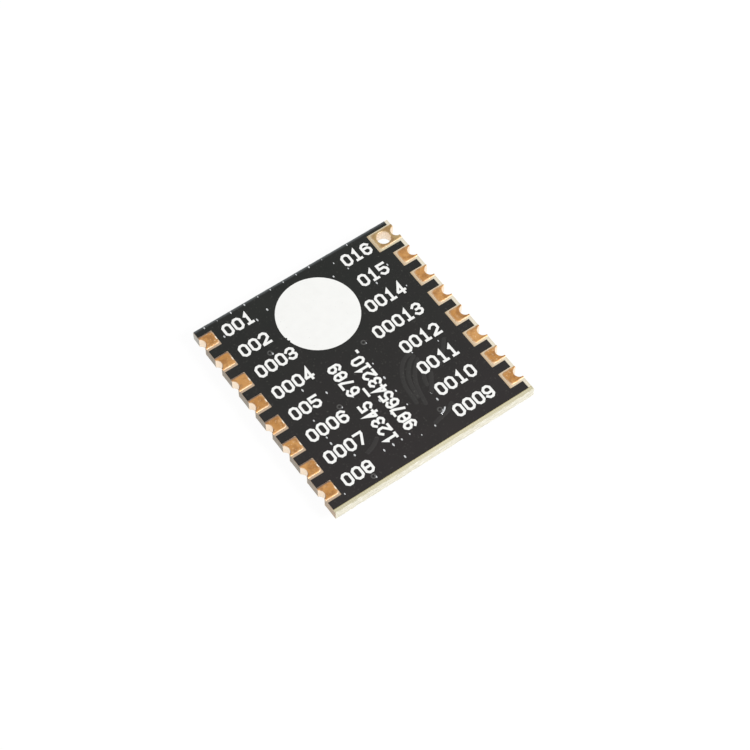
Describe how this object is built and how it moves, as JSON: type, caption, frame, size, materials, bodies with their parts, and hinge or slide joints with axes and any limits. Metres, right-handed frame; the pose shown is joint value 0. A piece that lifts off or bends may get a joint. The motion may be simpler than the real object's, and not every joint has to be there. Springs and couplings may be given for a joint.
{
  "type": "castellated radio module",
  "caption": "Small square radio module board with plated half-hole edge contacts, an antenna wire hole, white print and soldered parts underneath.",
  "frame": {"origin": "under the middle of the board, on the surface that the module rests on", "axes": "+X along the print's reading direction, +Y towards the antenna end, +Z out of the printed side"},
  "size_m": [0.016, 0.0168, 0.0018],
  "materials": {
    "laminate": "woven glass laminate, satin, with raw cut edges",
    "solder_mask": "black lacquer, satin gloss with fine dust",
    "contact_plating": "gold over copper, satin",
    "white_ink": "white screen-printed ink, matt",
    "moulded_resin": "dark moulded resin, matt",
    "tinned_leads": "tin plating, satin",
    "solder": "reflowed solder, bright satin",
    "dark_ceramic": "fired ceramic, matt",
    "nickel_lid": "nickel-plated lid, satin",
    "tinned_ends": "tin plating, satin",
    "capacitor_ceramic": "fired ceramic, satin brown",
    "inductor_ceramic": "fired ceramic, satin white",
    "resistor_glaze": "dark glaze over ceramic, satin"
  },
  "bodies": {
    "root": {"antenna_contact": "contact_plating", "bulk_capacitor": "capacitor_ceramic", "capacitor_01": "capacitor_ceramic", "capacitor_02": "capacitor_ceramic", "capacitor_03": "capacitor_ceramic", "capacitor_04": "capacitor_ceramic", "capacitor_05": "capacitor_ceramic", "capacitor_06": "capacitor_ceramic", "capacitor_07": "capacitor_ceramic", "capacitor_08": "capacitor_ceramic", "capacitor_09": "capacitor_ceramic", "capacitor_10": "capacitor_ceramic", "capacitor_11": "capacitor_ceramic", "capacitor_12": "capacitor_ceramic", "capacitor_end_caps": "tinned_ends", "centre_numbers": "white_ink", "circuit_board": "laminate", "component_lands": "contact_plating", "component_side_mask": "solder_mask", "component_side_print": "white_ink", "contact_01": "contact_plating", "contact_02": "contact_plating", "contact_03": "contact_plating", "contact_04": "contact_plating", "contact_05": "contact_plating", "contact_06": "contact_plating", "contact_07": "contact_plating", "contact_08": "contact_plating", "contact_09": "contact_plating", "contact_10": "contact_plating", "contact_11": "contact_plating", "contact_12": "contact_plating", "contact_13": "contact_plating", "contact_14": "contact_plating", "contact_15": "contact_plating", "contact_numbers": "white_ink", "crystal_case": "dark_ceramic", "crystal_lid": "nickel_lid", "inductor_01": "inductor_ceramic", "inductor_02": "inductor_ceramic", "inductor_03": "inductor_ceramic", "inductor_04": "inductor_ceramic", "inductor_05": "inductor_ceramic", "inductor_06": "inductor_ceramic", "inductor_end_caps": "tinned_ends", "printed_side_mask": "solder_mask", "resistor_01": "resistor_glaze", "resistor_02": "resistor_glaze", "resistor_03": "resistor_glaze", "resistor_04": "resistor_glaze", "resistor_05": "resistor_glaze", "resistor_end_caps": "tinned_ends", "solder_joints": "solder", "switch_chip": "moulded_resin", "switch_legs": "tinned_leads", "transceiver_chip": "moulded_resin", "transceiver_leads": "tinned_leads", "white_disc": "white_ink"}
  },
  "joints": []
}
